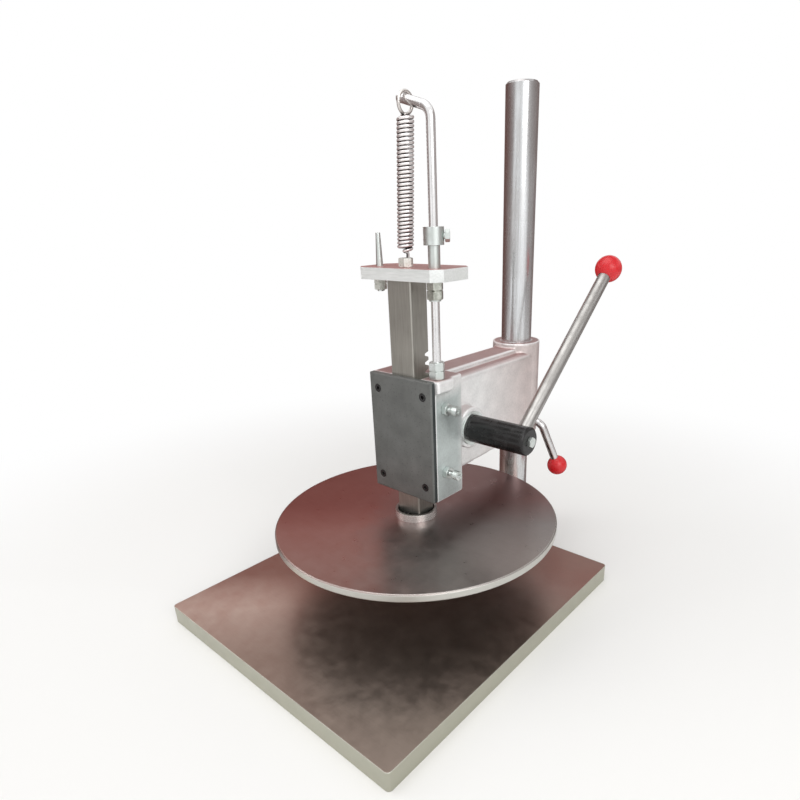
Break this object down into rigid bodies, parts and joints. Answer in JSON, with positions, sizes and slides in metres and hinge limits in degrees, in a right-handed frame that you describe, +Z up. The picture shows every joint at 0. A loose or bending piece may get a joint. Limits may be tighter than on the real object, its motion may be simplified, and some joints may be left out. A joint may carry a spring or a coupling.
{
  "type": "pizza dough press",
  "caption": "Bench pizza dough press: a hand lever, pinion and rack drive a steel disc down onto a steel plate, under a sprung head clamped on a column.",
  "frame": {"origin": "middle of the base plate's rectangle, on its underside", "axes": "+X to the operator's right, the lever side; +Y to the rear, the column side; +Z up"},
  "size_m": [0.234, 0.3235, 0.381],
  "materials": {
    "plate_steel": "bare rolled steel, slightly stained",
    "ground_steel": "ground bright",
    "zinc_steel": "zinc plated",
    "chromed_steel": "polished",
    "black_steel": "black oxide, satin",
    "silver_paint": "silver paint on a rough casting",
    "grey_paint": "matt grey",
    "light_alloy": "milled",
    "spring_wire": "drawn wire",
    "red_plastic": "gloss"
  },
  "bodies": {
    "stand": {"base_plate": "plate_steel", "column": "ground_steel", "column_screw": "zinc_steel"},
    "head": {"head_casting": "silver_paint", "front_cover": "grey_paint", "cover_screws": "black_steel", "gib_strip": "ground_steel", "gib_screws": "zinc_steel", "gib_nuts": "zinc_steel", "spring_post": "chromed_steel", "post_nuts": "zinc_steel", "return_spring": "spring_wire"},
    "ram": {"ram": "ground_steel", "top_plate": "light_alloy", "anchor_bolt": "zinc_steel", "stop_stud": "zinc_steel", "stop_nuts": "zinc_steel", "guide_bush": "zinc_steel", "bush_nuts": "zinc_steel", "press_disc": "plate_steel", "disc_screw": "zinc_steel", "flange_cup": "ground_steel", "cup_screws": "black_steel"},
    "lever": {"pinion_gear": "ground_steel", "pinion_shaft": "ground_steel", "thrust_washer": "zinc_steel", "end_washer": "zinc_steel", "end_bolt": "zinc_steel", "lever_hub": "black_steel", "hub_bolt": "zinc_steel", "lever_rod": "chromed_steel", "lever_knob": "red_plastic"},
    "clamp": {"clamp_lever": "chromed_steel", "clamp_knob": "red_plastic"},
    "collar": {"stop_collar": "zinc_steel"},
    "collar_bolt": {"collar_screw": "zinc_steel"}
  },
  "joints": [
    {"name": "head_height", "type": "slide", "parent": "stand", "child": "head", "axis": [0, 0, 1], "range_m": [-0.006, 0.15]},
    {"name": "ram_travel", "type": "slide", "parent": "head", "child": "ram", "axis": [0, 0, -1], "range_m": [0, 0.04], "stiffness_N_per_m": 500, "springref_m": -0.08, "deforming": ["return_spring"]},
    {"name": "lever_turn", "type": "hinge", "parent": "head", "child": "lever", "pos_m": [0, 0.0595, 0.1367], "axis": [1, 0, 0], "range_deg": [0, 82]},
    {"name": "clamp_turn", "type": "hinge", "parent": "head", "child": "clamp", "pos_m": [0, 0.163, 0.112], "axis": [1, 0, 0], "range_deg": [-45, 60]},
    {"name": "stop_height", "type": "slide", "parent": "head", "child": "collar", "axis": [0, 0, 1], "range_m": [0, 0.05]},
    {"name": "stop_screw_turn", "type": "hinge", "parent": "collar", "child": "collar_bolt", "pos_m": [0.0255, 0.025, 0.2758], "axis": [0.766, 0.6428, 0], "continuous": true}
  ],
  "couplings": [
    {"joint": "lever_turn", "follows": "ram_travel", "rad_per_m": 35.714}
  ]
}
